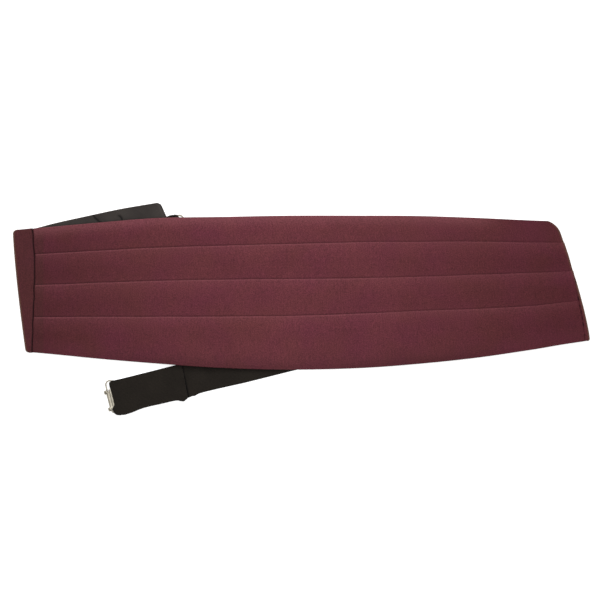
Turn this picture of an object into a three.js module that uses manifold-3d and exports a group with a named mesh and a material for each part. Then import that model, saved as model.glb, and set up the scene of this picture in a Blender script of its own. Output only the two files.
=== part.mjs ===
// A pleated cummerbund lying flat, front face up, as folded for a picture: both ends are turned back
// under the front along slanting creases. The left tail holds a short tab with a wire eye, the right
// tail a long elastic strap that runs behind the front to a wire loop with a metal hook.
// Millimetres, +Z up, X along the front, Y from its bottom edge to its top edge.
import * as THREE from "three";
import { mergeVertices } from "three/addons/utils/BufferGeometryUtils.js";
import Module from "manifold-3d";

// Pleated front
const frontLength = 485.7; // between the outermost points of the two creases
const frontHeight = 128.9; // at its highest section
const clothWall = 1.0;
const liningWall = 1.0;
const layerGap = 0.3; // between two pieces that lie on each other
const pleatGap = 0.2; // between the layers of one pleat
const pleatDepth = 12; // how far each band runs on under the next one
const seamPress = 0.55; // the pleats are pressed to this share of their height at both seams
const seamPressRun = 14; // within this distance of a seam

// Creases where the ends are turned back
const leftSlant = 10.75; // how far the left crease leans in at its foot
const leftSlantPower = 1.35; // the lean grows with this power of the way down the left crease
const rightSlant = 28.1; // how far the right crease leans in at its head
const rightSlantPower = 1.3; // and with this power of the way up the right one
const creaseLeanLimit = 0.3; // a crease's turn bulges square to it, up to this slope
const leftHeadRadius = 3;
const leftFootRadius = 2.5;
const rightHeadRadius = 9.7;
const rightFootRadius = 2.2;

// Seams between the front and its end pieces
const leftSeamInset = 16.6; // from the left crease's outermost point, at the seam's ends
const leftSeamBow = 1.7;
const rightSeamInset = 1.1; // inside the right crease at the foot
const rightSeamRun = 5.3; // and this much further round it at the head
const liningSeamInset = 8; // inside each crease
const liningEdgeInset = 1; // the front's lining is set back from its edges
const seamGap = 0.5;
const liningGap = 1.5; // between the front's lining and those of its ends

// Tails
const leftTailLength = 137.5; // from the middle of the crease to the middle of the tail's end
const rightTailLength = 138.6;
const leftTailAngle = 22.45; // degrees above the front's axis
const rightTailAngle = 14.05; // degrees below it
const leftEndTurn = 1.5; // degrees between the left tail and its end's own axis
const leftEndWidth = 49.5;
const rightEndWidth = 51.2;
const tailCornerRadius = 4.5;

// Elastic
const elasticWidth = 28.4;
const elasticWall = 1.2;
const tuck = 11; // held inside each tail
const tuckRamp = 14; // over which a tail's lining rises to the tucked elastic
const tuckSideRamp = 7;
const tuckRoom = 1; // the lining is fully raised this far round the tucked elastic
const strapRun = 260.75; // from the right tail's end to the clasp
const strapDoubled = 62; // turned back on itself and sewn
const strapRamp = 16; // over which the strap comes down to the floor
const tabRun = 9.4;
const tabDoubled = 5.4;
const tabRamp = 3;
const tabDrop = 3.5; // the tab sits this far below the middle of the tail's end
const strapDrop = 0.5; // and the strap of its own
const rampStart = 0.5; // the elastic starts down this far from a tail's end
const foldSettle = 9; // the turned back layer comes down to the other over this length
const strapPinch = 3.4; // the strap is this much narrower in its loop, at its lower edge
const tabPinch = 3; // and the tab in the eye, at its upper edge
const pinchRun = 4.4; // over which they widen again

// How the front comes up over what lies behind it
const liftMargin = 22; // it is level this far beside a crease and beyond a tucked elastic
const liftRun = 32; // and comes down to the strap over this length

// Metal
const wireDiameter = 1.3;
const loopDepth = 5.1; // between the middles of the clasp loop's two long sides
const eyeDepth = 5.2; // the same of the eye
const foldedBend = 1.5; // the loops' corner radius on the side that the elastic holds
const loopBend = 3.5; // on the clasp loop's free side, at the strap's upper edge
const loopTightBend = 1.5; // and at its lower one
const eyeBend = 3.6; // on the eye's free side
const claspShift = 1.2; // the hook sits this far below the strap's middle
const plateLength = 15;
const plateWall = 0.45;
const noseDiameter = 2.4; // the hook's curled nose, beside the strap's end
const noseLength = 16.2;
const noseShift = 1; // towards the strap's upper edge
const noseRise = 0.35; // above the wire's middle
const webLength = 13.6; // between the nose and the barrel round the wire
const earDiameter = 3.9; // the rolled ears at the plate's ends
const earLength = 3.4;
const earOffset = 0.9; // the ears stand this far outside the wire
const earStand = 1.5; // and reach this far beyond the plate's ends
const earHole = 1.2;
const earHoleOffset = 1.4; // outside the wire
const earHoleShift = 0.7; // both holes are this far towards the same end

// The front's sections from its left end to its right: topDrop and bottomRise are shares of
// frontHeight, and pleat1 to pleat3 are shares of the section's own height, from its top edge.
const sections = [
  { along: 0.0, topDrop: 0.097, bottomRise: 0.12, pleat1: 0.209, pleat2: 0.458, pleat3: 0.716 },
  { along: 0.045, topDrop: 0.08, bottomRise: 0.109, pleat1: 0.208, pleat2: 0.456, pleat3: 0.712 },
  { along: 0.15, topDrop: 0.045, bottomRise: 0.071, pleat1: 0.206, pleat2: 0.441, pleat3: 0.691 },
  { along: 0.25, topDrop: 0.016, bottomRise: 0.04, pleat1: 0.203, pleat2: 0.431, pleat3: 0.678 },
  { along: 0.36, topDrop: 0.008, bottomRise: 0.012, pleat1: 0.191, pleat2: 0.415, pleat3: 0.659 },
  { along: 0.48, topDrop: 0.0, bottomRise: 0.0, pleat1: 0.183, pleat2: 0.41, pleat3: 0.65 },
  { along: 0.6, topDrop: 0.0, bottomRise: 0.01, pleat1: 0.174, pleat2: 0.409, pleat3: 0.642 },
  { along: 0.7, topDrop: 0.002, bottomRise: 0.037, pleat1: 0.174, pleat2: 0.41, pleat3: 0.641 },
  { along: 0.8, topDrop: 0.014, bottomRise: 0.076, pleat1: 0.169, pleat2: 0.406, pleat3: 0.65 },
  { along: 0.9, topDrop: 0.031, bottomRise: 0.13, pleat1: 0.17, pleat2: 0.405, pleat3: 0.66 },
  { along: 0.95, topDrop: 0.037, bottomRise: 0.162, pleat1: 0.171, pleat2: 0.407, pleat3: 0.659 },
  { along: 1.0, topDrop: 0.042, bottomRise: 0.19, pleat1: 0.172, pleat2: 0.409, pleat3: 0.657 },
];
const pleatNames = ["pleat1", "pleat2", "pleat3"];

// How far a tail's long edges stand outside straight ones, from the crease to the tail's end: along is
// a share of the tail's length, and out a share of its end's width.
const tailOutline = [
  { along: 0, out: 0 },
  { along: 0.05, out: -0.03 },
  { along: 0.12, out: -0.022 },
  { along: 0.26, out: 0 },
  { along: 0.5, out: 0.013 },
  { along: 0.76, out: 0.018 },
  { along: 1, out: 0 },
];

// How finely the sheets are divided
const frontSteps = 17;
const rightEndDrops = [5.4, 3.9, 2.6, 1.3, 0]; // from the right seam, closer where the front turns
const turnSteps = 5;
const pleatTurnSteps = 3;
const wireSides = 8;
const rodSides = 14;
const bendSteps = 4;
const rampSteps = 5;
const foldSteps = 8;
const settleSteps = 4;
const headDrops = [0, 1.5, 4, 8, 14]; // from a crease's head, closer where its corner is round
const footDrops = [0, 1.5, 4, 10];
const middleShares = [0.23, 0.32, 0.5, 0.68, 0.77];
const tuckRampShares = [1, 0.66, 0.33];
const liningShares = [0, 0.04, 0.12, 0.5, 0.8, 0.92, 1]; // from the foot to the head

const radians = THREE.MathUtils.degToRad;
const lerp = THREE.MathUtils.lerp;
const smoothstep = THREE.MathUtils.smoothstep;
const wireRadius = wireDiameter / 2;
const wireRoom = wireRadius + layerGap;

// One column of the sections at a share of the length, on a smooth curve through its rows.
function sectionValue(column, along) {
  const last = sections.length - 1;
  let i = 0;
  while (i < last - 1 && sections[i + 1].along < along) i += 1;
  const slope = (k) => {
    const a = sections[Math.max(k - 1, 0)];
    const b = sections[Math.min(k + 1, last)];
    return (b[column] - a[column]) / (b.along - a.along);
  };
  const start = sections[i];
  const end = sections[i + 1];
  const width = end.along - start.along;
  const t = THREE.MathUtils.clamp((along - start.along) / width, 0, 1);
  const h = t * t * (3 - 2 * t);
  const bend = t * (1 - t) * width * ((1 - t) * slope(i) - t * slope(i + 1));
  return lerp(start[column], end[column], h) + bend;
}

const shareAlong = (x) => x / frontLength + 0.5;
const topEdge = (x) => frontHeight * (0.5 - sectionValue("topDrop", shareAlong(x)));
const bottomEdge = (x) => frontHeight * (sectionValue("bottomRise", shareAlong(x)) - 0.5);
const heightAt = (x) => topEdge(x) - bottomEdge(x);

// How much a round corner takes off at a distance from its edge.
function cornerInset(distance, radius) {
  const short = radius - THREE.MathUtils.clamp(distance, 0, radius);
  return radius - Math.sqrt(radius * radius - short * short);
}

// The stack of layers at a crease, from the floor: tail cloth, tail lining, front lining, front cloth.
const liningRadii = [layerGap / 2, layerGap / 2 + liningWall];
const clothRadii = [liningRadii[1] + layerGap, liningRadii[1] + layerGap + clothWall];
const creaseHeight = clothRadii[1];
const overCrease = creaseHeight + layerGap / 2;
const overStrap = 2 * elasticWall + pleatGap + layerGap;
const overLeftTail = 2 * elasticWall + 2 * wireRoom + layerGap;
const overRightTail = overCrease + elasticWall + layerGap;
const frontBase = liningWall + layerGap;

// The two creases. A crease line is the middle of its turn, x at a share v of the height.
const nominalHeight = { left: heightAt(-frontLength / 2), right: heightAt(frontLength / 2) };
const crease = {
  left: {
    name: "left",
    side: -1,
    x(v) {
      const fromTop = (1 - v) * nominalHeight.left;
      const fromFoot = v * nominalHeight.left;
      const lean = leftSlant * (1 - v) ** leftSlantPower;
      const corners = cornerInset(fromTop, leftHeadRadius) + cornerInset(fromFoot, leftFootRadius);
      return -frontLength / 2 + clothRadii[1] + lean + corners;
    },
  },
  right: {
    name: "right",
    side: 1,
    x(v) {
      const fromTop = (1 - v) * nominalHeight.right;
      const fromFoot = v * nominalHeight.right;
      const lean = rightSlant * Math.max(v, 0) ** rightSlantPower;
      const corners = cornerInset(fromTop, rightHeadRadius) + cornerInset(fromFoot, rightFootRadius);
      return frontLength / 2 - clothRadii[1] - lean - corners;
    },
  },
};

// A point of the front's plan at x and a share v of the height there.
function frontPlan(x, v) {
  return new THREE.Vector2(x, lerp(bottomEdge(x), topEdge(x), v));
}

function creasePoint(end, v) {
  return frontPlan(end.x(v), v);
}

// The direction in plan in which a crease's turn bulges. It leans with the crease, and is square to
// the front's length at both ends of it.
function creaseNormal(end, v) {
  const step = 0.02;
  const share = THREE.MathUtils.clamp(v, step, 1 - step);
  const along = creasePoint(end, share + step).sub(creasePoint(end, share - step));
  const slope = (-end.side * along.x) / along.y;
  const lean = THREE.MathUtils.clamp(slope, -creaseLeanLimit, creaseLeanLimit);
  return new THREE.Vector2(end.side, lean * 4 * share * (1 - share));
}

// Tails: the middle of the crease, the middle of the tail's end and that end's own axis.
function tailOf(end, length, angle, endTurn, endWidth) {
  const middle = creasePoint(end, 0.5);
  const direction = radians(angle);
  const run = new THREE.Vector2(-end.side * Math.cos(direction), -end.side * Math.sin(direction));
  const axisAngle = radians(angle + endTurn);
  const axis = new THREE.Vector2(-end.side * Math.cos(axisAngle), -end.side * Math.sin(axisAngle));
  const across = new THREE.Vector2(end.side * axis.y, -end.side * axis.x);
  return { end, length, endWidth, axis, across, middle, tip: middle.clone().addScaledVector(run, length) };
}
const leftTail = tailOf(crease.left, leftTailLength, leftTailAngle, leftEndTurn, leftEndWidth);
const rightTail = tailOf(crease.right, rightTailLength, rightTailAngle, 0, rightEndWidth);

// The tail's end edge at a share v across it, with its corners rounded.
function tailEdge(tail, v) {
  const offset = (v - 0.5) * tail.endWidth;
  const fromCorner = Math.min(v, 1 - v) * tail.endWidth;
  return tail.tip
    .clone()
    .addScaledVector(tail.across, offset)
    .addScaledVector(tail.axis, -cornerInset(fromCorner, tailCornerRadius));
}

// How far a tail's edges stand outside straight ones at a share of its length.
function tailBow(tail, share) {
  const next = Math.max(
    tailOutline.findIndex((row) => row.along >= share),
    1,
  );
  const a = tailOutline[next - 1];
  const b = tailOutline[next];
  return tail.endWidth * THREE.MathUtils.mapLinear(share, a.along, b.along, a.out, b.out);
}

// Height of the front lining's underside: it passes over the creases, the tails' ends and the strap.
const leftTailEnd = Math.max(tailEdge(leftTail, 0).x, tailEdge(leftTail, 1).x);
const rightTailEnd = Math.min(tailEdge(rightTail, 0).x, tailEdge(rightTail, 1).x);
const tabReach = tabRun + eyeDepth + wireDiameter;
const liftSteps = [
  { x: crease.left.x(0) + liftMargin, height: overCrease },
  { x: leftTailEnd - tuck - tuckRamp - liftMargin, height: overLeftTail },
  { x: leftTailEnd + tabReach, height: overLeftTail },
  { x: leftTailEnd + tabReach + liftRun, height: overStrap },
  { x: rightTailEnd - strapRamp - liftRun, height: overStrap },
  { x: rightTailEnd - strapRamp, height: overRightTail },
  { x: rightTailEnd + tuck + tuckRamp + liftMargin, height: overRightTail },
  { x: crease.right.x(1) - liftMargin, height: overCrease },
];

function lift(x) {
  let height = liftSteps[0].height;
  for (let i = 1; i < liftSteps.length; i += 1) {
    const a = liftSteps[i - 1];
    const b = liftSteps[i];
    height += (b.height - a.height) * smoothstep(x, a.x, b.x);
  }
  return height;
}

// A point round a crease: beyond is the way past the crease line, negative on the front's side,
// and radius is the distance from the middle of the folded stack.
function roundCrease(end, v, beyond, radius) {
  const turn = (clothRadii[0] + clothRadii[1]) / 2;
  const angle = Math.min(Math.max(beyond, 0) / turn, Math.PI);
  const x = end.x(v) + end.side * Math.min(beyond, 0);
  const plan = frontPlan(x, v);
  plan.addScaledVector(creaseNormal(end, v), radius * Math.sin(angle));
  return new THREE.Vector3(plan.x, plan.y, creaseHeight + radius * Math.cos(angle));
}
const halfTurn = (Math.PI * (clothRadii[0] + clothRadii[1])) / 2;

// A closed geometry from points and triangles, turned to face out.
function closedGeometry(points, triangles) {
  const volume = triangles.reduce((sum, [a, b, c]) => {
    const normal = new THREE.Vector3().crossVectors(points[b], points[c]);
    return sum + points[a].dot(normal);
  }, 0);
  const ordered = volume < 0 ? triangles.map(([a, b, c]) => [a, c, b]) : triangles;
  const geometry = new THREE.BufferGeometry().setFromPoints(points);
  geometry.setIndex(ordered.flat());
  geometry.computeVertexNormals();
  return geometry;
}

// A sheet with a wall: pair(i, j) gives its two faces' points at row i and column j.
function sheetGeometry(rows, columns, pair) {
  const points = [];
  for (let i = 0; i < rows; i += 1) {
    for (let j = 0; j < columns; j += 1) points.push(...pair(i, j));
  }
  const at = (i, j, face) => 2 * (i * columns + j) + face;
  const triangles = [];
  const quad = (a, b, c, d) => triangles.push([a, b, c], [a, c, d]);
  for (let i = 0; i < rows - 1; i += 1) {
    for (let j = 0; j < columns - 1; j += 1) {
      quad(at(i, j, 0), at(i + 1, j, 0), at(i + 1, j + 1, 0), at(i, j + 1, 0));
      quad(at(i, j, 1), at(i, j + 1, 1), at(i + 1, j + 1, 1), at(i + 1, j, 1));
    }
  }
  for (let i = 0; i < rows - 1; i += 1) {
    quad(at(i, 0, 0), at(i, 0, 1), at(i + 1, 0, 1), at(i + 1, 0, 0));
    const j = columns - 1;
    quad(at(i, j, 0), at(i + 1, j, 0), at(i + 1, j, 1), at(i, j, 1));
  }
  for (let j = 0; j < columns - 1; j += 1) {
    quad(at(0, j, 0), at(0, j + 1, 0), at(0, j + 1, 1), at(0, j, 1));
    const i = rows - 1;
    quad(at(i, j, 0), at(i, j, 1), at(i, j + 1, 1), at(i, j + 1, 0));
  }
  return closedGeometry(points, triangles);
}

// The shares of a crease's height at which its end piece has a point, from the foot to the head.
function creaseShares(end) {
  const height = nominalHeight[end.name];
  const feet = footDrops.map((drop) => drop / height);
  const heads = headDrops.map((drop) => 1 - drop / height);
  return [...feet, ...middleShares, ...heads.reverse()];
}

// The shares of a tail's length at which it has a point, closer near the tucked elastic.
function tailSteps(tail) {
  const rising = tuckRampShares.map((share) => tuck + tuckRamp * share);
  const fromEnd = [...rising, tuck + tuckRoom, tuck / 2, 0];
  const bends = tailOutline.slice(1, -1).map((row) => row.along);
  return [...bends, ...fromEnd.map((distance) => 1 - distance / tail.length)];
}

// A folded end: from its seam on the front's side, round the crease and out to the tail's end.
function foldedEnd(tail, radii, seam, raise) {
  const across = creaseShares(tail.end);
  const rows = [];
  rows.push((v) => ({ beyond: -seam(v) }));
  for (let k = 0; k <= turnSteps; k += 1) {
    rows.push((v) => ({ beyond: lerp(Math.max(-seam(v) + clothWall, 0), halfTurn, k / turnSteps) }));
  }
  tailSteps(tail).forEach((share) => rows.push(() => ({ share })));
  return sheetGeometry(rows.length, across.length, (i, j) => {
    const v = across[j];
    const { beyond, share } = rows[i](v);
    return radii.map((radius) => {
      if (share === undefined) return roundCrease(tail.end, v, beyond, radius);
      const plan = creasePoint(tail.end, v).lerp(tailEdge(tail, v), share);
      plan.addScaledVector(tail.across, (2 * v - 1) * tailBow(tail, share));
      return new THREE.Vector3(plan.x, plan.y, creaseHeight - radius + raise(share, v));
    });
  });
}

// The lining of a tail rises over the elastic that is tucked into its end.
function liningRaise(tail, drop) {
  return (share, v) => {
    const fromEnd = (1 - share) * tail.length;
    const offset = Math.abs((v - 0.5) * tail.endWidth + drop);
    const alongTail = 1 - smoothstep(fromEnd, tuck + tuckRoom, tuck + tuckRamp);
    const half = elasticWidth / 2 + tuckRoom;
    const acrossTail = 1 - smoothstep(offset, half, half + tuckSideRamp);
    return (elasticWall + layerGap) * alongTail * acrossTail;
  };
}
const noRaise = () => 0;

const leftSeam = (v) => {
  const plan = -frontLength / 2 + leftSeamInset + leftSeamBow * Math.sin(Math.PI * v);
  return plan - crease.left.x(v);
};
const rightSeam = (v) => rightSeamInset - rightSeamRun * v;
const liningSeam = () => liningSeamInset;

// A point of the front's cloth or lining, at a height above the front lining's underside.
function frontPoint(x, v, height) {
  const fromLeft = x - crease.left.x(v) - leftSeam(v);
  const fromRight = crease.right.x(v) - rightSeam(v) - x;
  const pressed = 1 - smoothstep(Math.min(fromLeft, fromRight), 0, seamPressRun);
  const base = Math.min(height, frontBase);
  const over = base + (height - base) * lerp(1, seamPress, pressed);
  const beyond = x - crease.right.x(v);
  if (beyond > 0) return roundCrease(crease.right, v, beyond, layerGap / 2 + over);
  const plan = frontPlan(x, v);
  return new THREE.Vector3(plan.x, plan.y, lift(x) + over);
}

// The pleated cloth's middle line across the front, from the top edge down: how far each of its
// points is below a line that it follows, as a share of the height, and its height above the lining.
function pleatRoute() {
  const half = clothWall / 2;
  const spacing = clothWall + pleatGap;
  const turnRadius = spacing / 2;
  const reach = turnRadius + half; // from a fold's middle to its outside
  const level = (k) => frontBase + half + k * spacing;
  const route = headDrops.map((down) => ({ line: "top", down, height: level(0) }));
  pleatNames.forEach((line) => {
    route.push({ line, down: -reach, height: level(0) });
    for (let k = 0; k <= pleatTurnSteps; k += 1) {
      const angle = (Math.PI * k) / pleatTurnSteps;
      const height = level(0.5) - turnRadius * Math.cos(angle);
      route.push({ line, down: pleatDepth + turnRadius * Math.sin(angle), height });
    }
    for (let k = 0; k <= pleatTurnSteps; k += 1) {
      const angle = (Math.PI * k) / pleatTurnSteps;
      const height = level(1.5) - turnRadius * Math.cos(angle);
      route.push({ line, down: reach - turnRadius * Math.sin(angle), height });
    }
    route.push({ line, down: pleatDepth + reach, height: level(2) });
  });
  footDrops
    .toReversed()
    .forEach((drop) => route.push({ line: "bottom", down: -drop, height: level(0) }));
  return route;
}

function lineShare(line, x) {
  if (line === "top") return 0;
  if (line === "bottom") return 1;
  return sectionValue(line, shareAlong(x));
}

// The closed outline of a bent strip, from its middle line and wall, in a plane of two axes.
function stripOutline(middle, wall) {
  const side = (sign) =>
    middle.map((point, i) => {
      const before = middle[Math.max(i - 1, 0)];
      const after = middle[Math.min(i + 1, middle.length - 1)];
      const inward = point.clone().sub(before);
      const outward = after.clone().sub(point);
      if (i === 0) inward.copy(outward);
      if (i === middle.length - 1) outward.copy(inward);
      const a = inward.normalize();
      const b = outward.normalize();
      const normal = new THREE.Vector2(-a.y - b.y, a.x + b.x).normalize();
      const stretch = 1 / Math.sqrt((1 + a.dot(b)) / 2);
      return point.clone().addScaledVector(normal, (sign * wall * stretch) / 2);
    });
  return [...side(1), ...side(-1).reverse()];
}

// The shares of the front's length at which it has a section.
function frontShares() {
  const near = 1 - rightEndDrops[0] / frontLength;
  const plain = Array.from({ length: frontSteps }, (_, i) => (near * i) / frontSteps);
  return [...plain, ...rightEndDrops.map((drop) => 1 - drop / frontLength)];
}

// The pleated front: its outline section lofted from the left seam to the right one.
function pleatedFront() {
  const route = pleatRoute();
  const outlines = [];
  const rings = frontShares().map((share) => {
    const xAt = (v) => {
      const left = crease.left.x(v) + leftSeam(v) + seamGap;
      const right = crease.right.x(v) - rightSeam(v) - seamGap;
      return lerp(left, right, share);
    };
    const across = (line, down) => {
      const near = xAt(0.5);
      const v = 1 - lineShare(line, near) - down / heightAt(near);
      const x = xAt(v);
      return lineShare(line, x) * heightAt(x) + down;
    };
    const middle = route.map(({ line, down, height }) => new THREE.Vector2(across(line, down), height));
    const outline = stripOutline(middle, clothWall);
    outlines.push(outline);
    return outline.map((point) => {
      const near = xAt(1 - point.x / heightAt(xAt(0.5)));
      const v = 1 - point.x / heightAt(near);
      return frontPoint(xAt(v), v, point.y);
    });
  });
  return loftGeometry(rings, THREE.ShapeUtils.triangulateShape(outlines[0], []));
}

// A closed loft through rings of the same number of points, with both ends capped.
function loftGeometry(rings, cap) {
  const count = rings[0].length;
  const points = rings.flat();
  const triangles = [];
  for (let i = 0; i < rings.length - 1; i += 1) {
    for (let j = 0; j < count; j += 1) {
      const k = (j + 1) % count;
      const a = i * count;
      const b = a + count;
      triangles.push([a + j, b + j, b + k], [a + j, b + k, a + k]);
    }
  }
  const last = (rings.length - 1) * count;
  const firstEdge = cap.some(([a, b, c]) => [[a, b], [b, c], [c, a]].some(([p, q]) => p === 0 && q === 1));
  cap.forEach(([a, b, c]) => {
    const near = firstEdge ? [a, b, c] : [a, c, b];
    triangles.push(near);
    triangles.push([near[0] + last, near[2] + last, near[1] + last]);
  });
  return closedGeometry(points, triangles);
}

// The plain lining behind the front, inside the turned edges of its cloth.
function frontLining() {
  return sheetGeometry(frontSteps + 1, liningShares.length, (i, j) => {
    const xAt = (v) => {
      const left = crease.left.x(v) + liningSeamInset + liningGap;
      const right = crease.right.x(v) - liningSeamInset - liningGap;
      return lerp(left, right, i / frontSteps);
    };
    const near = xAt(liningShares[j]);
    const inset = liningEdgeInset / heightAt(near);
    const v = lerp(inset, 1 - inset, liningShares[j]);
    return [0, liningWall].map((height) => frontPoint(xAt(v), v, height));
  });
}

// Elastic seen from its side: tucked into a tail at its start, down to the floor, out to a turn
// round the wire and back on itself. X is the way out from the tail's end and Y is the height.
// One of its edges is pinched in where it goes round the wire.
function elasticGeometry({ run, doubled, ramp, pinch }) {
  const half = elasticWall / 2;
  const tuckHeight = clothWall + layerGap + half;
  const turnRadius = wireRoom + half;
  const turnX = run - wireRoom - elasticWall;
  const turnY = elasticWall + wireRoom;
  const settle = Math.min(foldSettle, turnX - run + doubled);
  const middle = [new THREE.Vector2(-tuck, tuckHeight)];
  for (let k = 0; k <= rampSteps; k += 1) {
    const share = k / rampSteps;
    const height = lerp(tuckHeight, half, smoothstep(share, 0, 1));
    middle.push(new THREE.Vector2(rampStart + share * ramp, height));
  }
  [turnX - pinchRun, turnX - pinchRun / 2].forEach((x) => {
    if (x > rampStart + ramp) middle.push(new THREE.Vector2(x, half));
  });
  for (let k = 0; k <= foldSteps; k += 1) {
    const angle = (Math.PI * k) / foldSteps;
    const x = turnX + turnRadius * Math.sin(angle);
    middle.push(new THREE.Vector2(x, turnY - turnRadius * Math.cos(angle)));
  }
  const rest = 1.5 * elasticWall + pleatGap;
  for (let k = 1; k <= settleSteps; k += 1) {
    const share = k / settleSteps;
    const height = lerp(turnY + turnRadius, rest, smoothstep(share, 0, 1));
    middle.push(new THREE.Vector2(turnX - share * settle, height));
  }
  if (run - doubled < turnX - settle) middle.push(new THREE.Vector2(run - doubled, rest));
  const shape = new THREE.Shape(stripOutline(middle, elasticWall));
  const geometry = new THREE.ExtrudeGeometry(shape, { depth: elasticWidth, bevelEnabled: false });
  const points = geometry.attributes.position;
  for (let i = 0; i < points.count; i += 1) {
    const pinched = pinch * smoothstep(points.getX(i), turnX - pinchRun, turnX);
    if (points.getZ(i) < elasticWidth / 2) points.setZ(i, pinched);
  }
  return geometry;
}

// A wire loop flat in its own XY plane: one long side on the Y axis, held in the elastic's fold, and
// the other at X = depth. Its corners there have one radius at the pinched edge and one at the other.
function wireLoop({ depth, pinch, pinchedBend, plainBend }) {
  const plainReach = elasticWidth / 2 + wireRoom;
  const pinchedReach = plainReach - pinch;
  const points = [];
  const corner = (x, y, radius, startAngle) => {
    for (let k = 0; k <= bendSteps; k += 1) {
      const angle = startAngle - (Math.PI * k) / (2 * bendSteps);
      points.push(new THREE.Vector3(x + radius * Math.cos(angle), y + radius * Math.sin(angle), 0));
    }
  };
  corner(foldedBend, pinchedReach - foldedBend, foldedBend, Math.PI);
  corner(depth - pinchedBend, pinchedReach - pinchedBend, pinchedBend, Math.PI / 2);
  corner(depth - plainBend, plainBend - plainReach, plainBend, 0);
  corner(foldedBend, foldedBend - plainReach, foldedBend, -Math.PI / 2);
  return ringTube(points, wireRadius, wireSides);
}

// A closed tube round a flat ring of points.
function ringTube(points, radius, sides) {
  const count = points.length;
  const vertices = [];
  points.forEach((point, i) => {
    const before = points[(i + count - 1) % count];
    const after = points[(i + 1) % count];
    const a = point.clone().sub(before).normalize();
    const b = after.clone().sub(point).normalize();
    const outward = new THREE.Vector3(a.y + b.y, -a.x - b.x, 0).normalize();
    const stretch = 1 / Math.sqrt((1 + a.dot(b)) / 2);
    for (let k = 0; k < sides; k += 1) {
      const angle = (2 * Math.PI * k) / sides;
      const vertex = point.clone().addScaledVector(outward, radius * stretch * Math.cos(angle));
      vertex.z += radius * Math.sin(angle);
      vertices.push(vertex);
    }
  });
  const triangles = [];
  for (let i = 0; i < count; i += 1) {
    for (let k = 0; k < sides; k += 1) {
      const a = i * sides + k;
      const b = i * sides + ((k + 1) % sides);
      const c = ((i + 1) % count) * sides + ((k + 1) % sides);
      const d = ((i + 1) % count) * sides + k;
      triangles.push([a, b, c], [a, c, d]);
    }
  }
  return closedGeometry(vertices, triangles);
}

const wasm = await Module();
wasm.setup();

function toManifold(geometry) {
  const bare = geometry.clone();
  bare.deleteAttribute("normal");
  bare.deleteAttribute("uv");
  const merged = mergeVertices(bare, 1e-4);
  return new wasm.Manifold(
    new wasm.Mesh({
      numProp: 3,
      vertProperties: merged.attributes.position.array,
      triVerts: new Uint32Array(merged.index.array),
    }),
  );
}

function fromManifold(solid) {
  const mesh = solid.getMesh();
  const geometry = new THREE.BufferGeometry();
  geometry.setAttribute("position", new THREE.BufferAttribute(mesh.vertProperties, 3));
  geometry.setIndex(new THREE.BufferAttribute(mesh.triVerts, 1));
  geometry.computeVertexNormals();
  return geometry;
}

// The stamped hook: rolled round the loop's free side, with a curled nose beside the strap's end
// and a rolled ear at each end. Its own Y axis is the free side, X points away from the strap.
function hookPlate() {
  const rod = (diameter, length) => {
    return new THREE.CylinderGeometry(diameter / 2, diameter / 2, length, rodSides);
  };
  const through = 2 * plateLength;
  const barrelDiameter = 2 * (wireRoom + plateWall);
  const noseX = -(loopDepth - wireRoom - elasticWall) + noseDiameter / 2 + layerGap / 2;
  let solid = toManifold(rod(barrelDiameter, plateLength));
  const nose = rod(noseDiameter, noseLength).translate(noseX, -noseShift, noseRise);
  solid = solid.add(toManifold(nose));
  const web = new THREE.BoxGeometry(-noseX, webLength, plateWall);
  solid = solid.add(toManifold(web.translate(noseX / 2, 0, barrelDiameter / 2 - plateWall)));
  [-1, 1].forEach((way) => {
    const earMiddle = way * (plateLength / 2 + earStand - earLength / 2);
    const ear = rod(earDiameter, earLength).translate(earOffset, earMiddle, 0);
    const hole = rod(earHole, through).rotateX(Math.PI / 2);
    hole.translate(earHoleOffset, earMiddle + earHoleShift, 0);
    solid = solid.add(toManifold(ear)).subtract(toManifold(hole));
  });
  solid = solid.subtract(toManifold(rod(2 * wireRoom, through)));
  const slot = new THREE.BoxGeometry(noseDiameter - 2 * plateWall, through, noseDiameter);
  slot.translate(noseX, 0, noseRise - noseDiameter / 2);
  return fromManifold(solid.subtract(toManifold(slot)));
}

const finishes = {
  burgundy: new THREE.MeshStandardMaterial({ color: 0x66353c, roughness: 0.62 }),
  lining: new THREE.MeshStandardMaterial({ color: 0x3b3835, roughness: 0.7 }),
  elastic: new THREE.MeshStandardMaterial({ color: 0x25221e, roughness: 0.85 }),
  metal: new THREE.MeshStandardMaterial({ color: 0xb8b0a2, roughness: 0.3, metalness: 1 }),
};

function addMesh(parent, name, geometry, finish) {
  const mesh = new THREE.Mesh(geometry, finishes[finish].clone());
  mesh.name = name;
  parent.add(mesh);
  return mesh;
}

const cummerbund = new THREE.Group();
addMesh(cummerbund, "front_panel", pleatedFront(), "burgundy");
addMesh(cummerbund, "back_lining", frontLining(), "lining");
const leftRaise = liningRaise(leftTail, tabDrop);
const rightRaise = liningRaise(rightTail, strapDrop);
addMesh(cummerbund, "left_end_piece", foldedEnd(leftTail, clothRadii, leftSeam, noRaise), "burgundy");
addMesh(cummerbund, "right_end_piece", foldedEnd(rightTail, clothRadii, rightSeam, noRaise), "burgundy");
addMesh(cummerbund, "left_end_lining", foldedEnd(leftTail, liningRadii, liningSeam, leftRaise), "lining");
addMesh(cummerbund, "right_end_lining", foldedEnd(rightTail, liningRadii, liningSeam, rightRaise), "lining");

const strapMake = { run: strapRun, doubled: strapDoubled, ramp: strapRamp, pinch: strapPinch };
const tabMake = { run: tabRun, doubled: tabDoubled, ramp: tabRamp, pinch: tabPinch };
const loopMake = {
  depth: loopDepth,
  pinch: strapPinch,
  pinchedBend: loopTightBend,
  plainBend: loopBend,
};
const eyeMake = { depth: eyeDepth, pinch: tabPinch, pinchedBend: eyeBend, plainBend: eyeBend };

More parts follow.
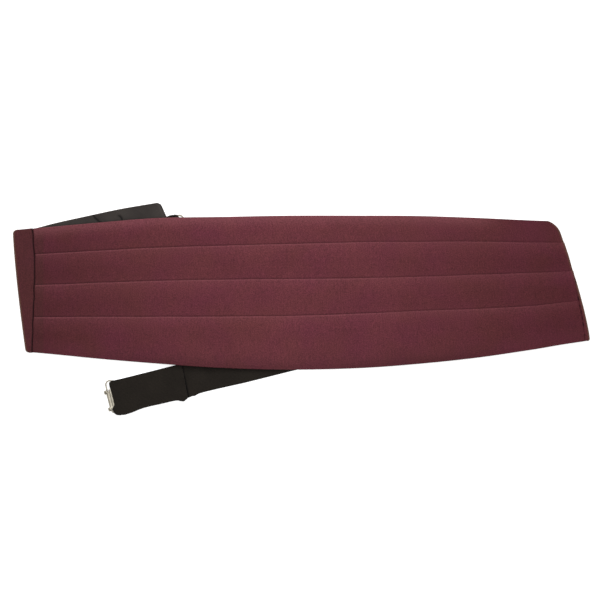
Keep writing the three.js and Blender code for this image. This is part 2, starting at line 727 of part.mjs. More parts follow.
// Each elastic and its wire share a group whose X axis runs out from the tail's end.
function elasticGroup(tail, drop) {
  const group = new THREE.Group();
  const start = tail.tip.clone().addScaledVector(tail.across, -drop);
  group.position.set(start.x, start.y, 0);
  group.rotation.z = Math.atan2(tail.axis.y, tail.axis.x);
  cummerbund.add(group);
  return group;
}

function addElastic(group, name, make) {
  const mesh = addMesh(group, name, elasticGeometry(make), "elastic");
  mesh.rotation.x = Math.PI / 2;
  mesh.position.y = elasticWidth / 2;
}

function addLoop(group, name, run, make) {
  const mesh = addMesh(group, name, wireLoop(make), "metal");
  mesh.position.set(run - wireRoom - elasticWall, 0, elasticWall + wireRoom);
}

const tabGroup = elasticGroup(leftTail, tabDrop);
addElastic(tabGroup, "left_strap_tab", tabMake);
addLoop(tabGroup, "eye_loop", tabRun, eyeMake);

const strapGroup = elasticGroup(rightTail, strapDrop);
addElastic(strapGroup, "elastic_strap", strapMake);
addLoop(strapGroup, "clasp_loop", strapRun, loopMake);
const plate = addMesh(strapGroup, "hook_plate", hookPlate(), "metal");
const plateX = strapRun - wireRoom - elasticWall + loopDepth;
plate.position.set(plateX, claspShift, elasticWall + wireRoom);

// The part's origin is the middle of its underside.
cummerbund.updateMatrixWorld(true);
const bounds = new THREE.Box3().setFromObject(cummerbund, true);
const middle = bounds.getCenter(new THREE.Vector3());
cummerbund.position.set(-middle.x, -middle.y, -bounds.min.z);
const part = new THREE.Group();
part.add(cummerbund);

export default part;
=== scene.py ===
# A pleated burgundy cummerbund laid flat with its front up, both ends folded back under it.
import math

import bpy
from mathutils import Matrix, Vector, noise


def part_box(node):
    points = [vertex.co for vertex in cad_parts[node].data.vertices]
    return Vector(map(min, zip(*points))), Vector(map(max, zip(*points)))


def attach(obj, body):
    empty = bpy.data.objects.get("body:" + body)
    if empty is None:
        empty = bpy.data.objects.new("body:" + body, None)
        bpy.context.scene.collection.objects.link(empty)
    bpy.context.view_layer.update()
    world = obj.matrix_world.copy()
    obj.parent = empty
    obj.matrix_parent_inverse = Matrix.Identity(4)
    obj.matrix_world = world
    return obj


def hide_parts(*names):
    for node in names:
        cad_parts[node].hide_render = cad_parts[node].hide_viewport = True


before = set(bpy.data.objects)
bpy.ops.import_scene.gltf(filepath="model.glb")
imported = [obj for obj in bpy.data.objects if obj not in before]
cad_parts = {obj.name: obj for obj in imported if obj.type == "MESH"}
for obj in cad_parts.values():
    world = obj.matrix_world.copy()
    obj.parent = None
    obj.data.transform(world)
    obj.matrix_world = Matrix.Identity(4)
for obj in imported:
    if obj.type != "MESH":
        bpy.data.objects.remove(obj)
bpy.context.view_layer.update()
mm = 0.001  # sizes are in millimetres up to the mesh, which is in metres

# the front as it lies: rows run from its left end to its right one, as shares of its length and height
panel = {
    "length": 485.7,
    "height": 129.5,
    "wall": 0.7,
    "pleatGap": 0.15,
    "pleatDepth": 12,  # each band runs on this far under the next one
    "turnIn": 7,  # the cloth is turned under the lining at both long edges
    "topRoll": 1.6,
    "topSink": 0.35,
    "topRun": 13,
    "bottomRoll": 3.6,
    "bottomSink": 0.3,
    "wave": 0.32,
    "waveLength": 38,
    "fineWave": 0.3,  # as a share of the slow wave, and a little drawn out along the front
    "fineWaveLength": 13,
    "fineWaveStretch": 1.6,
    "calmEdge": 0.15,
    "lineWobble": 0.22,
    "lineWobbleLength": 26,
    "alongSteps": 225,
    "seamSteps": (0, 0.2, 0.45, 0.8, 1.3, 2, 3, 4.2),
    "seamGap": 0.1,
    "bandFoot": 3.2,  # a band is down on the one above it this far before the next fold
    "lastFoot": 10.5,
}
sectionColumns = ("along", "topDrop", "bottomRise", "pleat1", "pleat2", "pleat3")
sectionRows = [
    (0.0, 0.097, 0.12, 0.209, 0.458, 0.716),
    (0.045, 0.08, 0.109, 0.208, 0.456, 0.712),
    (0.15, 0.045, 0.071, 0.206, 0.441, 0.691),
    (0.25, 0.016, 0.04, 0.203, 0.431, 0.678),
    (0.36, 0.008, 0.012, 0.191, 0.415, 0.659),
    (0.48, 0.0, 0.0, 0.183, 0.41, 0.65),
    (0.6, 0.0, 0.01, 0.174, 0.409, 0.642),
    (0.7, 0.002, 0.037, 0.174, 0.41, 0.641),
    (0.8, 0.014, 0.076, 0.169, 0.406, 0.65),
    (0.9, 0.031, 0.13, 0.17, 0.405, 0.66),
    (0.95, 0.037, 0.162, 0.171, 0.407, 0.659),
    (1.0, 0.042, 0.19, 0.172, 0.409, 0.657),
]
sections = [dict(zip(sectionColumns, row)) for row in sectionRows]
pleatLines = sectionColumns[3:]

# the folded ends: creases, seams and tails
ends = {
    "left": {
        "side": -1,
        "slant": 10.75,
        "slantPower": 1.35,
        "headRadius": 3,
        "footRadius": 2.5,
        "tailLength": 137.5,
        "tailAngle": 22.45,
        "tailSteps": 180,
        "endTurn": 1.5,
        "endWidth": 49.5,
        "elasticDrop": 3.5,
    },
    "right": {
        "side": 1,
        "slant": 28.1,
        "slantPower": 1.3,
        "headRadius": 9.7,
        "footRadius": 2.2,
        "tailLength": 138.6,
        "tailAngle": 14.05,
        "tailSteps": 100,
        "endTurn": 0,
        "endWidth": 51.2,
        "elasticDrop": 0.5,
    },
}
stack = {
    "layer": 1.0,  # room for each cloth in the folded stack
    "gap": 0.3,
    "clothWall": 0.8,
    "liningWall": 0.6,
    "tailCorner": 4.5,
    "leftSeam": 16.6,
    "leftSeamBow": 1.85,
    "leftSeamLean": 1.73,
    "leftSeamWobble": 0.5,
    "leftSeamWobbleLength": 9,
    "stitchLength": 2.6,
    "liningSeam": 8,
    "seamPress": 0.55,
    "seamPressRun": 14,
    "seamRoll": 1.4,
    "seamDepth": 0.8,
    "pleatSink": 0.45,
    "pucker": 0.3,
    "puckerLength": 4.5,
    "rimPress": 0.4,
    "rimRise": 0.4,
    "edgeRoll": 1.3,
    "hiddenEdge": 0.005,  # what the front covers stays this share short of its long edges
}
noiseSeeds = {
    "leftSeam": 6.6,
    "stitches": 9.7,
    "slowWave": 3.1,
    "fineWave": 8.4,
    "pucker": 5.2,
    "pleatLine": 1.7,
    "tailLining": 4.4,
}
tailColumns = ("along", "out")  # how far a tail's long edges stand out, as shares of its length and end
tailRows = [
    (0.0, 0.0),
    (0.05, -0.036),
    (0.12, -0.031),
    (0.26, -0.009),
    (0.5, 0.006),
    (0.76, 0.016),
    (1.0, 0.0),
]
tailOutline = [dict(zip(tailColumns, row)) for row in tailRows]
seamColumns = ("along", "inset")  # the right seam by its way up: how far short of the crease it lies
seamRows = [(0.0, 1.8), (0.17, 1.0), (0.35, 0.1), (0.46, -0.9), (0.6, -3.2), (1.0, -4.2)]
rightSeamLine = [dict(zip(seamColumns, row)) for row in seamRows]
elastic = {
    "width": 28.4,
    "wall": 1.2,
    "tuck": 11,
    "tuckRamp": 14,
    "tuckSideRamp": 7,
    "tuckRoom": 1,
    "rampStart": 0.5,
    "settle": 9,
    "step": 1.6,
    "doubledStep": 1.2,
    "acrossSteps": 26,
    "endSteps": (-2.2, -1.7, -1.3, -0.9, -0.5, -0.1, 0.3, 0.7, 1.1, 1.6),  # round the turned back end
}
strap = {"run": 260.75, "doubled": 61.8, "ramp": 16, "pinch": 3.4, "tail": "right"}
tab = {"run": 9.4, "doubled": 5.4, "ramp": 3, "pinch": 3, "tail": "left", "corner": 2.2, "upperPinch": 0.5}
pinchRun = 4.4
upperHalf = (0.35, 0.65)  # where a turn goes over from its lower layer to its upper one
wire = {"diameter": 1.3, "foldedBend": 1.5}
claspLoop = {"depth": 5.6, "plainBend": 3.5, "pinchedBend": 1.5, "short": 0}
eyeLoop = {"depth": 5.2, "plainBend": 3.6, "pinchedBend": 3.6, "short": 0.9}

lowLeft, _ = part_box("left_end_piece")
_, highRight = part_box("right_end_piece")
panelLow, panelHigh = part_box("front_panel")
origin = Vector(((lowLeft.x + highRight.x) / 2, (panelLow.y + panelHigh.y) / 2, 0)) / mm


def lerp(a, b, share):
    return a + (b - a) * share


def clamp(value, low=0.0, high=1.0):
    return min(max(value, low), high)


def smoothstep(value, start, end):
    t = clamp((value - start) / (end - start))
    return t * t * (3 - 2 * t)


def ripple(x, y, size, seed):
    return noise.noise(Vector((x / size, y / size, seed)))


def rounded(distance, radius):
    # what a round edge or corner takes off at a distance from it
    short = radius - clamp(distance, 0, radius)
    return radius - math.sqrt(radius * radius - short * short)


def bell(distance, run):
    return math.exp(-((distance / run) ** 2))


def tableValue(rows, column, along):
    # a smooth curve through one column of a table
    last = len(rows) - 1
    i = 0
    while i < last - 1 and rows[i + 1]["along"] < along:
        i += 1

    def slope(k):
        a, b = rows[max(k - 1, 0)], rows[min(k + 1, last)]
        return (b[column] - a[column]) / (b["along"] - a["along"])

    start, end = rows[i], rows[i + 1]
    width = end["along"] - start["along"]
    t = clamp((along - start["along"]) / width)
    bend = t * (1 - t) * width * ((1 - t) * slope(i) - t * slope(i + 1))
    return lerp(start[column], end[column], t * t * (3 - 2 * t)) + bend


def sectionValue(column, along):
    return tableValue(sections, column, along)


def topEdge(x):
    return panel["height"] * (0.5 - sectionValue("topDrop", x / panel["length"] + 0.5))


def bottomEdge(x):
    return panel["height"] * (sectionValue("bottomRise", x / panel["length"] + 0.5) - 0.5)


def heightAt(x):
    return topEdge(x) - bottomEdge(x)


def planPoint(x, v):
    return Vector((x, lerp(bottomEdge(x), topEdge(x), v)))


liningRadius = stack["gap"] / 2 + stack["layer"] / 2
clothRadius = liningRadius + stack["layer"] + stack["gap"]
outerRadius = clothRadius + stack["layer"] / 2
creaseHeight = outerRadius
wireRoom = wire["diameter"] / 2 + stack["gap"]
overCrease = creaseHeight + stack["gap"] / 2
overStrap = 2 * elastic["wall"] + panel["pleatGap"] + stack["gap"]
overLeftTail = 2 * elastic["wall"] + 2 * wireRoom + stack["gap"]
overRightTail = overCrease + elastic["wall"] + stack["gap"]
frontBase = stack["layer"] + stack["gap"]
for name, end in ends.items():
    end["height"] = heightAt(end["side"] * panel["length"] / 2)


def creaseX(end, v):
    fromTop, fromFoot = (1 - v) * end["height"], v * end["height"]
    way = max(1 - v if end["side"] < 0 else v, 0)
    lean = end["slant"] * way ** end["slantPower"]
    corners = rounded(fromTop, end["headRadius"]) + rounded(fromFoot, end["footRadius"])
    return end["side"] * (panel["length"] / 2 - outerRadius - lean - corners)


def creasePoint(end, v):
    return planPoint(creaseX(end, v), v)


def creaseNormal(end, v):
    # square to the crease at its middle, and level with the front's long edges at its ends
    step, steepest = 0.02, 0.3
    share = clamp(v, step, 1 - step)
    along = creasePoint(end, share + step) - creasePoint(end, share - step)
    lean = clamp(-end["side"] * along.x / along.y, -steepest, steepest)
    return Vector((end["side"], lean * 4 * share * (1 - share)))


def roundCrease(end, v, beyond, radius):
    # a point round a crease: beyond is the way past its line, radius the distance from the stack's middle
    angle = min(max(beyond, 0) / clothRadius, math.pi)
    plan = planPoint(creaseX(end, v) + end["side"] * min(beyond, 0), v)
    plan = plan + creaseNormal(end, v) * radius * math.sin(angle)
    return Vector((plan.x, plan.y, creaseHeight + radius * math.cos(angle)))


def direction(end, degrees):
    angle = math.radians(degrees)
    return Vector((-end["side"] * math.cos(angle), -end["side"] * math.sin(angle)))


for end in ends.values():
    end["tip"] = creasePoint(end, 0.5) + direction(end, end["tailAngle"]) * end["tailLength"]
    end["axis"] = direction(end, end["tailAngle"] + end["endTurn"])
    end["across"] = Vector((end["side"] * end["axis"].y, -end["side"] * end["axis"].x))


def tailEdge(end, v):
    inset = rounded(min(v, 1 - v) * end["endWidth"], stack["tailCorner"])
    return end["tip"] + end["across"] * (v - 0.5) * end["endWidth"] - end["axis"] * inset


def tailPoint(end, share, v):
    bow = end["endWidth"] * tableValue(tailOutline, "out", share)
    return creasePoint(end, v).lerp(tailEdge(end, v), share) + end["across"] * (2 * v - 1) * bow


leftTailEnd = max(tailEdge(ends["left"], v).x for v in (0, 1))
rightTailEnd = min(tailEdge(ends["right"], v).x for v in (0, 1))
tucked = elastic["tuck"] + elastic["tuckRamp"]
eyeReach = leftTailEnd + tab["run"] + eyeLoop["depth"] + wire["diameter"]
liftMargin, liftRun = 22, 32
liftSteps = [
    (creaseX(ends["left"], 0) + liftMargin, overCrease),
    (leftTailEnd - tucked - liftMargin, overLeftTail),
    (eyeReach, overLeftTail),
    (eyeReach + liftRun, overStrap),
    (rightTailEnd - strap["ramp"] - liftRun, overStrap),
    (rightTailEnd - strap["ramp"], overRightTail),
    (rightTailEnd + tucked + liftMargin, overRightTail),
    (creaseX(ends["right"], 1) - liftMargin, overCrease),
]


def lift(x):
    height = liftSteps[0][1]
    for a, b in zip(liftSteps, liftSteps[1:]):
        height += (b[1] - a[1]) * smoothstep(x, a[0], b[0])
    return height


def leftSeam(v):
    bow = stack["leftSeamBow"] * math.sin(math.pi * clamp(v) ** stack["leftSeamLean"])
    wobble = ripple(v * panel["height"], 0, stack["leftSeamWobbleLength"], noiseSeeds["leftSeam"])
    bow += stack["leftSeamWobble"] * wobble
    return -panel["length"] / 2 + stack["leftSeam"] + bow - creaseX(ends["left"], v)


def rightSeam(v):
    return tableValue(rightSeamLine, "inset", clamp(v))


def seamShade(end, fromSeam, v):
    # painted shade in the seams, which at the right end falls only between the stitches
    dark = 1
    if end["side"] > 0:
        between = ripple(v * end["height"], 0, stack["stitchLength"], noiseSeeds["stitches"])
        dark = lerp(0.15, 1, smoothstep(between, -0.1, 0.25))
    return dark * (smoothstep(fromSeam, 0.3, 1.0) - 1)


def rimTint(beyond):
    # the cloth looks olive brown where it turns down round a crease
    return smoothstep(beyond / clothRadius, 0.1, 0.9)


def surfaceWave(x, v):
    # the slow unevenness of cloth that has been folded and pressed, none at its long edges
    calm = smoothstep(min(v, 1 - v), 0, panel["calmEdge"])
    y = v * panel["height"]
    slow = ripple(x, y, panel["waveLength"], noiseSeeds["slowWave"])
    fine = ripple(x, y * panel["fineWaveStretch"], panel["fineWaveLength"], noiseSeeds["fineWave"])
    return calm * panel["wave"] * (slow + panel["fineWave"] * fine)


def seamSink(fromSeam):
    # how far the cloth is drawn down at a way from its seam: all of it at the seam, none past its roll
    return rounded(max(fromSeam, 0), stack["seamRoll"]) / stack["seamRoll"]


def frontPoint(x, v, height):
    fromLeft = x - creaseX(ends["left"], v) - leftSeam(v)
    fromRight = creaseX(ends["right"], v) - rightSeam(v) - x
    fromSeam = min(fromLeft, fromRight)
    pressed = 1 - smoothstep(fromSeam, 0, stack["seamPressRun"])
    base = min(height, frontBase)
    beyond = x - creaseX(ends["right"], v)
    rounding = smoothstep(beyond, -9, 2.5)  # the pleats are pressed flat where they go round the crease
    flattened = lerp(1, stack["seamPress"], pressed) * lerp(1, stack["rimPress"], rounding)
    over = base + (height - base) * flattened
    pucker = stack["pucker"] * pressed * smoothstep(fromSeam, 0, 2)
    pucker *= ripple(v * panel["height"], 0, stack["puckerLength"], noiseSeeds["pucker"])
    over += stack["rimRise"] * smoothstep(beyond, -1.5, 2.5)
    over -= (stack["seamDepth"] + stack["pleatSink"] * (height - base) * flattened) * seamSink(fromSeam)
    if beyond > 0:
        return roundCrease(ends["right"], v, beyond, stack["gap"] / 2 + over)
    plan = planPoint(x, v)
    uneven = (pucker + surfaceWave(x, v)) * (1 - smoothstep(beyond, -6, 0))
    return Vector((plan.x, plan.y, lift(x) + over + uneven))


# where the cloth's route has its stops: ways from an edge or a fold, or shares of a band
routeStops = {
    "turnIn": (4.5, 2.5),
    "belowTop": (1.6, 2.4, 3.6, 5.5, 8, 11),
    "band": (0.15, 0.3, 0.45, 0.6, 0.75, 0.88),
    "aboveFold": (1.5, 0.85, 0.3),
    "under": (4, 8),
    "backUnder": (8, 4, 2),
    "overFold": (1.6, 2.6, 4.5, 7, 10),
    "lastBand": (0.2, 0.4, 0.6, 0.8),
    "aboveBottom": (9, 7, 5.5, 4.4, 3.4, 2.6, 2, 1.5),
}


def turn(line, down, level, radius, way, steps=8):
    # a half turn of the cloth from one level up to the next
    stops = []
    for k in range(steps + 1):
        angle = math.pi * k / steps
        stops.append((line, down + way * radius * math.sin(angle), level - radius * math.cos(angle)))
    return stops


def pleatRoute():
    # the cloth's middle line from its turned in top edge to the bottom one: (line, way below it, height)
    half = panel["wall"] / 2
    spacing = panel["wall"] + panel["pleatGap"]
    radius = spacing / 2
    reach = radius + half
    level = [frontBase + half + k * spacing for k in range(3)]
    under = frontBase - half
    edgeTurn = (level[0] - under) / 2
    turnIn = (panel["turnIn"], *routeStops["turnIn"])
    route = [("top", down, under) for down in turnIn]
    route += turn("top", edgeTurn + half, (level[0] + under) / 2, edgeTurn, -1)
    for down in routeStops["belowTop"]:
        route.append(("top", down, level[0] - panel["topSink"] * rounded(down, 2 * panel["topRoll"])))
    previous, since = "top", panel["topRun"]
    for line in pleatLines:
        for share in routeStops["band"]:
            route.append(((previous, line, share), since, level[0] if previous == "top" else None))
        route += [(line, -down, level[0]) for down in (panel["bandFoot"], *routeStops["aboveFold"])]
        route += [(line, down, level[0]) for down in routeStops["under"]]
        route += turn(line, panel["pleatDepth"], (level[0] + level[1]) / 2, radius, 1)
        route += [(line, down, level[1]) for down in routeStops["backUnder"]]
        route += turn(line, reach, (level[1] + level[2]) / 2, radius, -1)
        previous, since = line, panel["pleatDepth"] + reach
        route += [(line, down, level[2]) for down in (*routeStops["overFold"], since)]
    for share in routeStops["lastBand"]:
        route.append(((previous, "bottom", share), since, None))
    for down in routeStops["aboveBottom"]:
        route.append(("bottom", -down, level[0] - panel["bottomSink"] * rounded(down, panel["bottomRoll"])))
    route += reversed(turn("bottom", -edgeTurn - half, (level[0] + under) / 2, edgeTurn, 1))
    route += [("bottom", -down, under) for down in reversed(turnIn)]
    return route, level


def lineShare(line, x):
    if line == "top":
        return 0
    if line == "bottom":
        return 1
    seed = noiseSeeds["pleatLine"] + 3 * pleatLines.index(line)
    wobble = panel["lineWobble"] * ripple(x, 0, panel["lineWobbleLength"], seed)
    return sectionValue(line, x / panel["length"] + 0.5) + wobble / heightAt(x)


def routeSpot(stop, x, level):
    # one stop on the pleats' route: its way below the top edge, as a share of the section, and its height
    line, down, height = stop
    if not isinstance(line, tuple):
        return lineShare(line, x) + down / heightAt(x), height
    upper, lower, share = line
    start = lineShare(upper, x) + down / heightAt(x)
    foot = panel["lastFoot"] if lower == "bottom" else panel["bandFoot"]
    finish = lineShare(lower, x) - foot / heightAt(x)
    if height is None:  # a band comes down from the fold it starts with to the next one's foot
        height = lerp(level[2], level[0], share)
    return lerp(start, finish, share), height


def clearSelection():
    bpy.ops.object.select_all(action="DESELECT")


def applyModifier(obj, kind, **settings):
    bpy.context.view_layer.objects.active = obj
    modifier = obj.modifiers.new(kind, kind)
    for key, value in settings.items():
        setattr(modifier, key, value)
    bpy.ops.object.modifier_apply(modifier=modifier.name)


def layCloth(name, alongSteps, acrossSteps, pointAt, wall, marks=None, rims=None):
    # a grid laid along points in millimetres, with its flat cut in the UV map, then given its wall
    clearSelection()
    bpy.ops.mesh.primitive_grid_add(x_subdivisions=alongSteps, y_subdivisions=acrossSteps, size=2)
    obj = bpy.context.object
    obj.name = obj.data.name = name
    mesh = obj.data
    spots = []
    for vertex in mesh.vertices:
        i = round((vertex.co.x + 1) / 2 * alongSteps)
        j = round((vertex.co.y + 1) / 2 * acrossSteps)
        spots.append((i, j))
    points = {spot: pointAt(*spot) for spot in spots}
    flat = flatCut(points, alongSteps, acrossSteps)
    for vertex, spot in zip(mesh.vertices, spots):
        vertex.co = (points[spot] + origin) * mm
    grain = mesh.uv_layers[0]
    grain.name = "clothGrain"
    for loop in mesh.loops:
        grain.data[loop.index].uv = flat[spots[loop.vertex_index]]
    # the first attribute carries painted highlights and painted shade for the shaders
    for attribute, valueAt in (("paintedLightAndShade", marks), ("rimTint", rims)):
        if valueAt:
            values = mesh.attributes.new(attribute, "FLOAT", "POINT")
            values.data.foreach_set("value", [valueAt(*spot) for spot in spots])
    area = sum(face.area for face in mesh.polygons)
    applyModifier(obj, "SOLIDIFY", thickness=wall * mm, offset=0)
    applyModifier(obj, "BEVEL", width=0.28 * wall * mm, segments=2, limit_method="ANGLE", angle_limit=1.0)
    bpy.ops.object.shade_smooth()
    print(name, len(mesh.polygons), "faces")
    return obj, area


def flatCut(points, alongSteps, acrossSteps):
    # the flat place of each grid point in metres: its way along the middle row, and across its own column
    middle = acrossSteps // 2
    along = [0]
    for i in range(alongSteps):
        along.append(along[-1] + (points[i + 1, middle] - points[i, middle]).length * mm)
    flat = {}
    for i in range(alongSteps + 1):
        ways = [0]
        for j in range(acrossSteps):
            ways.append(ways[-1] + (points[i, j + 1] - points[i, j]).length * mm)
        for j in range(acrossSteps + 1):
            flat[i, j] = (along[i], ways[j] - ways[-1] / 2)
    return flat


# how strong the bands' painted highlights and painted shade are
bandTones = {
    "topLight": 1.15,
    "topRun": 6.5,
    "foldLight": 0.35,
    "foldRun": 6,
    "overall": -0.05,
    "bottomDark": 0.32,
    "bottomRun": 8.5,
    "foldEdge": 0.8,
    "paintedCleftShade": 0.4,
    "paintedCleftShadeStart": 0.2,
}


def paintedBandShading(x, below, share):
    # painted light and shade: lighter at the front's top edge and just below each fold, darker towards its
    # bottom edge
    height = heightAt(x)
    ways = [height * (below - lineShare(line, x)) for line in pleatLines]
    fromFold = min([way for way in ways if way > 0], default=height)
    tone = bandTones["overall"] + bandTones["foldLight"] * bell(fromFold, bandTones["foldRun"])
    beforeHead = 1 - smoothstep(share, 0.83, 0.92)
    tone += bandTones["topLight"] * beforeHead * bell(below * height, bandTones["topRun"])
    middle = smoothstep(share, 0.05, 0.25) * (1 - smoothstep(share, 0.75, 0.9))
    return tone - bandTones["bottomDark"] * middle * bell((1 - below) * height, bandTones["bottomRun"])


def makeFront():
    route, level = pleatRoute()
    length = panel["length"] - 2 * stack["leftSeam"]
    near = [way / length for way in panel["seamSteps"]]
    count = panel["alongSteps"]
    plain = [lerp(near[-1], 1 - near[-1], i / count) for i in range(1, count)]
    shares = near + plain + [1 - share for share in reversed(near)]
    last = len(route) - 1

    def xAt(share, v):
        left = creaseX(ends["left"], v) + leftSeam(v) + panel["seamGap"]
        right = creaseX(ends["right"], v) - rightSeam(v) - panel["seamGap"]
        return lerp(left, right, share)

    def pointAt(i, j):
        x = xAt(shares[i], 0.5)
        for _ in range(2):
            below, height = routeSpot(route[j], x, level)
            x = xAt(shares[i], clamp(1 - below))
        return frontPoint(x, 1 - below, height)

    def marks(i, j):
        # painted highlight on the folds' own edges, painted shade in the clefts above them and at the seams
        line, down, height = route[j]
        share = shares[i]
        fade = 1 - 0.3 * smoothstep(share, 0.56, 0.7) - 0.35 * smoothstep(share, 0.88, 1)
        x = xAt(share, 0.5)
        below = routeSpot(route[j], x, level)[0]
        mark = paintedBandShading(x, below, share)
        if line in pleatLines and -1 < down < 0:
            mark = -fade * bandTones["paintedCleftShadeStart" if down < -0.5 else "paintedCleftShade"]
        elif line in pleatLines and height > (level[1] + level[2]) / 2 and down < 1:
            mark = fade * bandTones["foldEdge"]
        fromEnd = min(share, 1 - share) * length
        if fromEnd > 1:
            return mark
        end = ends["left" if share < 0.5 else "right"]
        return min(mark, seamShade(end, fromEnd, 1 - below))

    def rims(i, j):
        v = clamp(1 - routeSpot(route[j], xAt(shares[i], 0.5), level)[0])
        return rimTint(xAt(shares[i], v) - creaseX(ends["right"], v))

    # top to bottom runs down the grid's own up, so the rows are taken in reverse
    points, paintedShading, rim = [lambda i, j, at=at: at(i, last - j) for at in (pointAt, marks, rims)]
    return layCloth("frontCloth", len(shares) - 1, last, points, panel["wall"], paintedShading, rim)


creaseWidth = 0.9
tailCreases = [
    [(-175.2, 65.2), (-173.8, 63.1), (-171.2, 60.6), (-168.7, 58.5)],
    [(-154.0, 64.8), (-152.3, 63.9), (-151.1, 62.2), (-151.1, 59.7)],
]


liningEnd = {
    "hem": 2.6,
    "hemWidth": 0.6,
    "hemLight": 0.5,
    "edgeRoll": 1.6,
    "edgeSink": 0.4,
    "wave": 0.12,
    "waveLength": 9,
    "creaseDepth": 0.45,
}


def creaseMark(plan):
    # the short hard creases in the left tail's lining, where it shows above the front; the same mask sinks
    # the lining and paints shade into them
    mark = 0
    for line in tailCreases:
        length = len(line) - 1
        for k, (start, finish) in enumerate(zip(line, line[1:])):
            a, b = Vector(start), Vector(finish)
            share = clamp((plan - a).dot(b - a) / (b - a).length_squared)
            off = (plan - a.lerp(b, share)).length
            taper = math.sin(math.pi * lerp(0.2, 0.8, (k + share) / length))
            mark = max(mark, taper * bell(off, creaseWidth))
    return mark


def foldedEnd(name, end, radius, seam, wall, rise=None):
    # one cloth from its seam on the front, round the crease, to the tail's end; only a lining has a rise
    turnSteps, tailSteps, acrossSteps, lead = 16, end["tailSteps"], 96, 14
    halfTurn = math.pi * clothRadius
    hidden = stack["hiddenEdge"] if rise or end["side"] > 0 else 0
    across = []
    for j in range(acrossSteps + 1):
        t = j / acrossSteps
        across.append(lerp(t, 0.5 - 0.5 * math.cos(math.pi * t), 0.55))

    def beyondAt(i, v):
        start = -seam(v)
        if i > lead:
            return lerp(max(start, 0), halfTurn, (i - lead) / turnSteps)
        return lerp(start, 0, (i / lead) ** 1.6) if start < 0 else start + 0.02 * i

    def pointAt(i, j):
        v = across[j]
        edge = rounded(min(v, 1 - v) * end["height"], stack["edgeRoll"])
        near = radius - 0.5 * edge if radius > liningRadius else radius + 0.1 * edge
        if i <= lead + turnSteps:
            v = clamp(v, hidden, 1 - hidden)
            beyond = beyondAt(i, v)
            return roundCrease(end, v, beyond, near - stack["seamDepth"] * seamSink(beyond + seam(v)))
        share = (i - lead - turnSteps) / tailSteps
        plan = tailPoint(end, share, v)
        lifted = rise(share, v, plan) if rise else 0
        return Vector((plan.x, plan.y, creaseHeight - near + lifted))

    def marks(i, j):
        v = across[j]
        if i <= lead + turnSteps:
            return 0 if rise else seamShade(end, beyondAt(i, v) + seam(v), v)
        if not rise:
            return 0
        share = (i - lead - turnSteps) / tailSteps
        # a painted highlight along the lining's hem, and painted shade in the left tail's creases
        hem = bell((1 - share) * end["tailLength"] - liningEnd["hem"], liningEnd["hemWidth"])
        paintedHemHighlight = liningEnd["hemLight"] * hem
        return paintedHemHighlight - (creaseMark(tailPoint(end, share, v)) if end["side"] < 0 else 0)

    def rims(i, j):
        return rimTint(beyondAt(min(i, lead + turnSteps), across[j]))

    return layCloth(name, lead + turnSteps + tailSteps, acrossSteps, pointAt, wall, marks, rims)


def liningRaise(end):
    # a tail's lining rises over the elastic tucked into its end
    def lifted(share, v, plan):
        fromEnd = (1 - share) * end["tailLength"]
        offset = abs((v - 0.5) * end["endWidth"] + end["elasticDrop"])
        half = elastic["width"] / 2 + elastic["tuckRoom"]
        alongTail = 1 - smoothstep(fromEnd, elastic["tuck"] + elastic["tuckRoom"], tucked)
        acrossTail = 1 - smoothstep(offset, half, half + elastic["tuckSideRamp"])
        edge = rounded(min(min(v, 1 - v) * end["height"], fromEnd + 0.4), liningEnd["edgeRoll"])
        uneven = ripple(share * 90, v * 60, liningEnd["waveLength"], noiseSeeds["tailLining"])
        settled = liningEnd["wave"] * uneven * smoothstep(fromEnd, 0, 6)
        creased = liningEnd["creaseDepth"] * creaseMark(plan) if end["side"] < 0 else 0
        raised = (elastic["wall"] + stack["gap"]) * alongTail * acrossTail
        return raised - liningEnd["edgeSink"] * edge + settled - creased

    return lifted


def makeBackLining():
    steps, acrossSteps = 120, 24
    inset = stack["liningSeam"] + 1.5

    def pointAt(i, j):
        v = lerp(0.016, 0.984, j / acrossSteps)
        left = creaseX(ends["left"], v) + inset
        right = creaseX(ends["right"], v) - inset
        x = lerp(left, right, i / steps)
        plan = planPoint(x, v)
        return Vector((plan.x, plan.y, lift(x) + stack["liningWall"] / 2 + 0.05))

    return layCloth("backLining", steps, acrossSteps, pointAt, stack["liningWall"])


def elasticPath(piece):
    # the elastic seen from its side: (way out from the tail's end, height, layer)
    rampSteps, turnSteps = 8, 16
    half = elastic["wall"] / 2
    tuckHeight = stack["layer"] + stack["gap"] + half
    turnX = piece["run"] - wireRoom - elastic["wall"]
    turnY = elastic["wall"] + wireRoom
    radius = wireRoom + half
    settle = min(elastic["settle"], turnX - piece["run"] + piece["doubled"])
    path = [(-elastic["tuck"], tuckHeight, 0), (-elastic["tuck"] / 2, tuckHeight, 0)]
    for share in [k / rampSteps for k in range(rampSteps + 1)]:
        height = lerp(tuckHeight, half, smoothstep(share, 0, 1))
        path.append((elastic["rampStart"] + share * piece["ramp"], height, 0))
    startX = elastic["rampStart"] + piece["ramp"]
    plain = max(round((turnX - startX) / elastic["step"]), 2)
    turnedEnd = piece["run"] - piece["doubled"]
    nearEnd = elastic["endSteps"]
    straight = [lerp(startX, turnX, k / plain) for k in range(1, plain)]
    straight = [x for x in straight if not nearEnd[0] - 0.4 < x - turnedEnd < nearEnd[-1] + 0.8]
    straight += [turnedEnd + way for way in nearEnd if startX < turnedEnd + way < turnX]
    path += [(x, half, 0) for x in sorted(straight)]
    for share in [k / turnSteps for k in range(turnSteps + 1)]:
        angle = math.pi * share
        path.append((turnX + radius * math.sin(angle), turnY - radius * math.cos(angle), share))
    rest = 1.5 * elastic["wall"] + panel["pleatGap"]
    for share in [k / rampSteps for k in range(1, rampSteps + 1)]:
        path.append((turnX - share * settle, lerp(turnY + radius, rest, smoothstep(share, 0, 1)), 1))
    left = turnX - settle - turnedEnd
    plain = round(left / elastic["doubledStep"])
    path += [(turnX - settle - left * k / plain, rest, 1) for k in range(1, plain + 1)]
    return path


